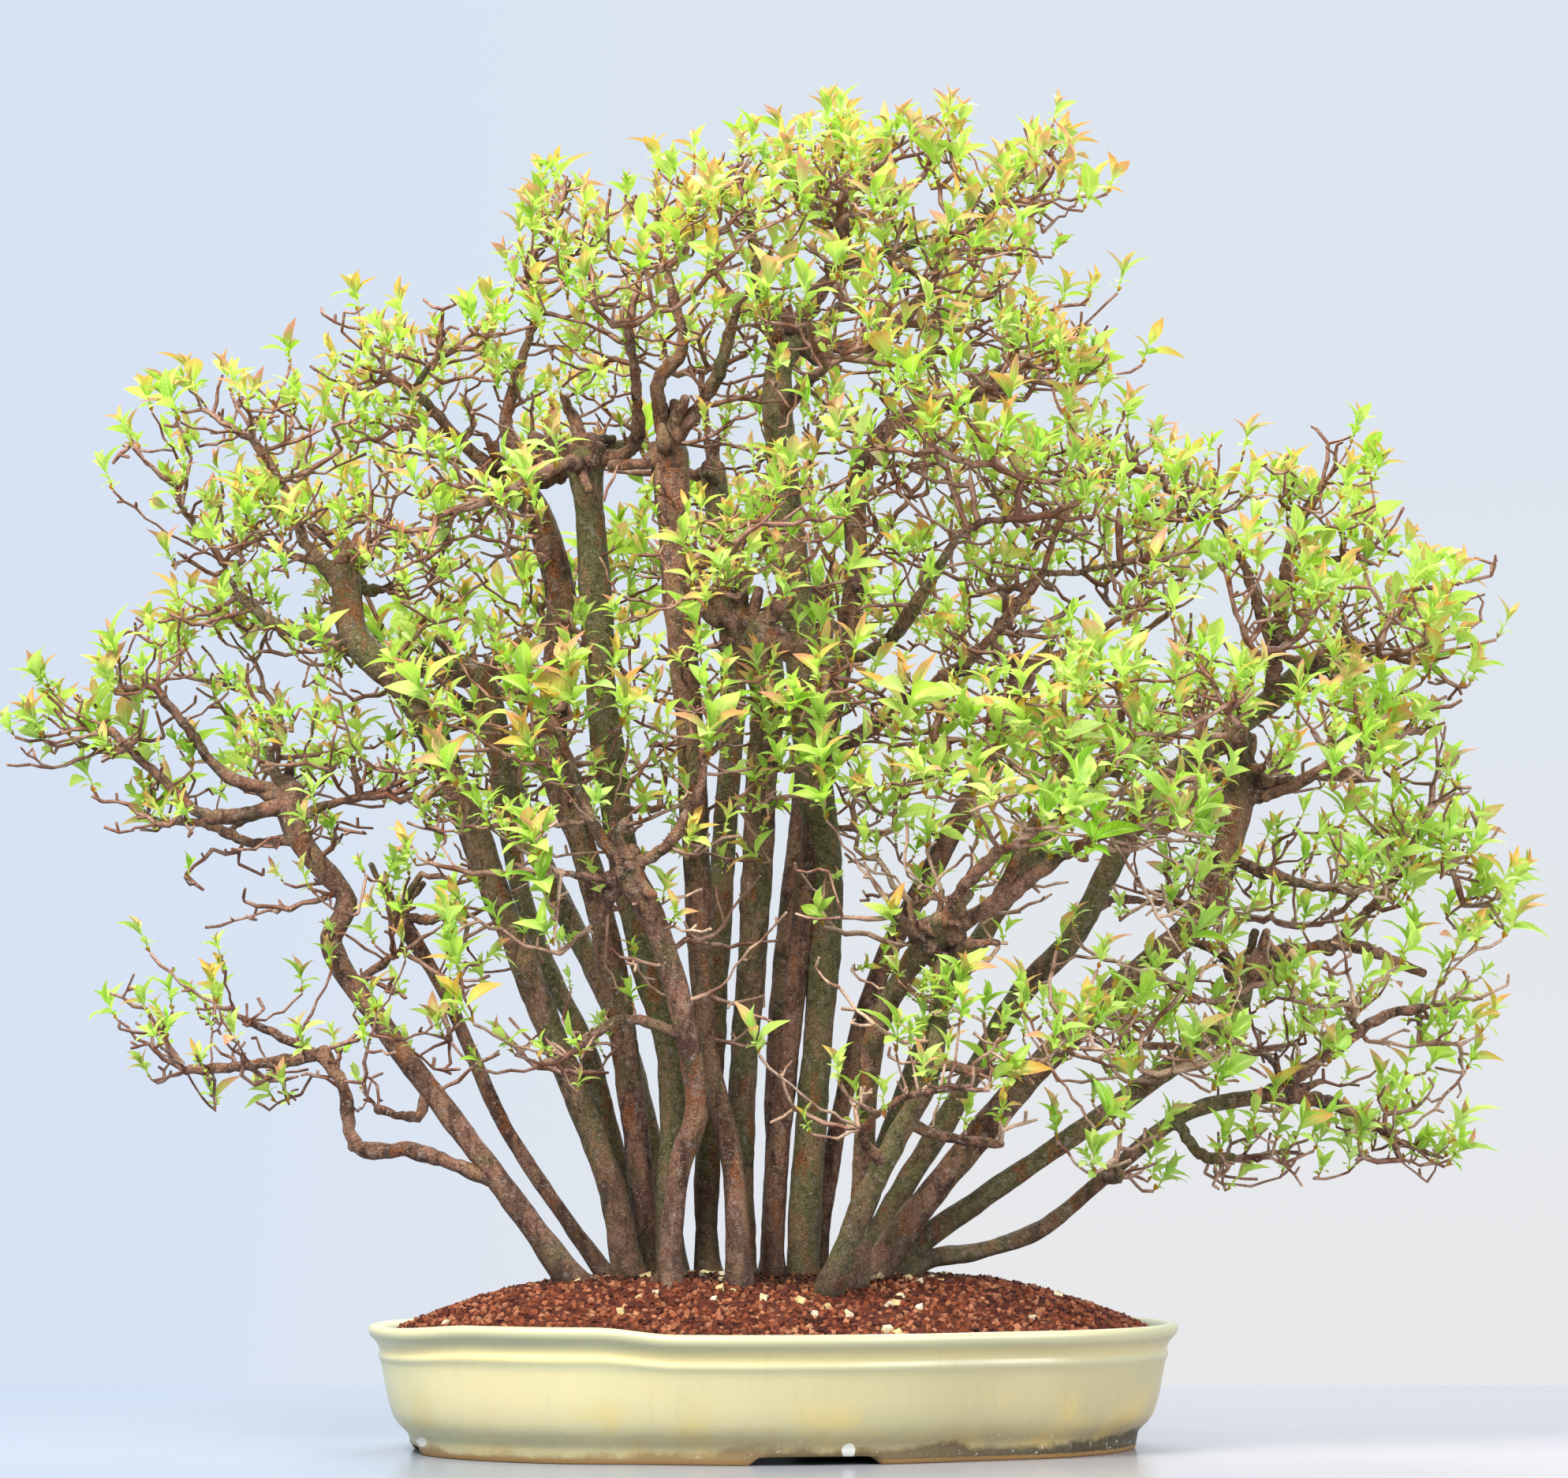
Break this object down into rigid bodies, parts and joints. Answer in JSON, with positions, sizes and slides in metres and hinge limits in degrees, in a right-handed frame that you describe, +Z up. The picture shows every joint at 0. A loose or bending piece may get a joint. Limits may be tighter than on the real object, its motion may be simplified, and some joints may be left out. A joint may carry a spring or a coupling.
{
  "type": "chinese quince bonsai",
  "caption": "Clump-style Chinese quince bonsai with many trunks, knuckled boughs and tufts of young leaves, in a shallow glazed oval pot.",
  "frame": {"origin": "on the table under the middle of the plant and its pot", "axes": "+X along the pot's long side, -Y out of the pot's front, +Z up"},
  "size_m": [1.0286, 0.5908, 0.9122],
  "materials": {
    "pot_glaze": "gloss glaze over stoneware",
    "soil": "matt fired-clay grains",
    "bark": "smooth mottled bark",
    "foliage": "satin young leaves on thin twigs"
  },
  "bodies": {
    "root": {"pot": "pot_glaze", "soil": "soil", "wood": "bark", "spray_01": "foliage", "spray_02": "foliage", "spray_03": "foliage", "spray_04": "foliage", "spray_05": "foliage", "spray_06": "foliage", "spray_07": "foliage", "spray_08": "foliage", "spray_09": "foliage", "spray_10": "foliage", "spray_11": "foliage", "spray_12": "foliage", "spray_13": "foliage", "spray_14": "foliage", "spray_15": "foliage", "spray_16": "foliage", "spray_17": "foliage", "spray_18": "foliage", "spray_19": "foliage", "spray_20": "foliage", "spray_21": "foliage", "spray_22": "foliage", "spray_23": "foliage", "spray_24": "foliage", "spray_25": "foliage", "spray_26": "foliage", "spray_27": "foliage", "spray_28": "foliage", "spray_29": "foliage", "spray_30": "foliage", "spray_31": "foliage", "spray_32": "foliage", "spray_33": "foliage", "spray_34": "foliage", "spray_35": "foliage", "spray_36": "foliage", "spray_37": "foliage", "spray_38": "foliage", "spray_39": "foliage", "spray_40": "foliage", "spray_41": "foliage", "spray_42": "foliage", "spray_43": "foliage", "spray_44": "foliage", "spray_45": "foliage", "spray_46": "foliage", "spray_47": "foliage", "spray_48": "foliage", "spray_49": "foliage", "spray_50": "foliage", "spray_51": "foliage", "spray_52": "foliage", "spray_53": "foliage", "spray_54": "foliage", "spray_55": "foliage", "spray_56": "foliage", "spray_57": "foliage"}
  },
  "joints": []
}
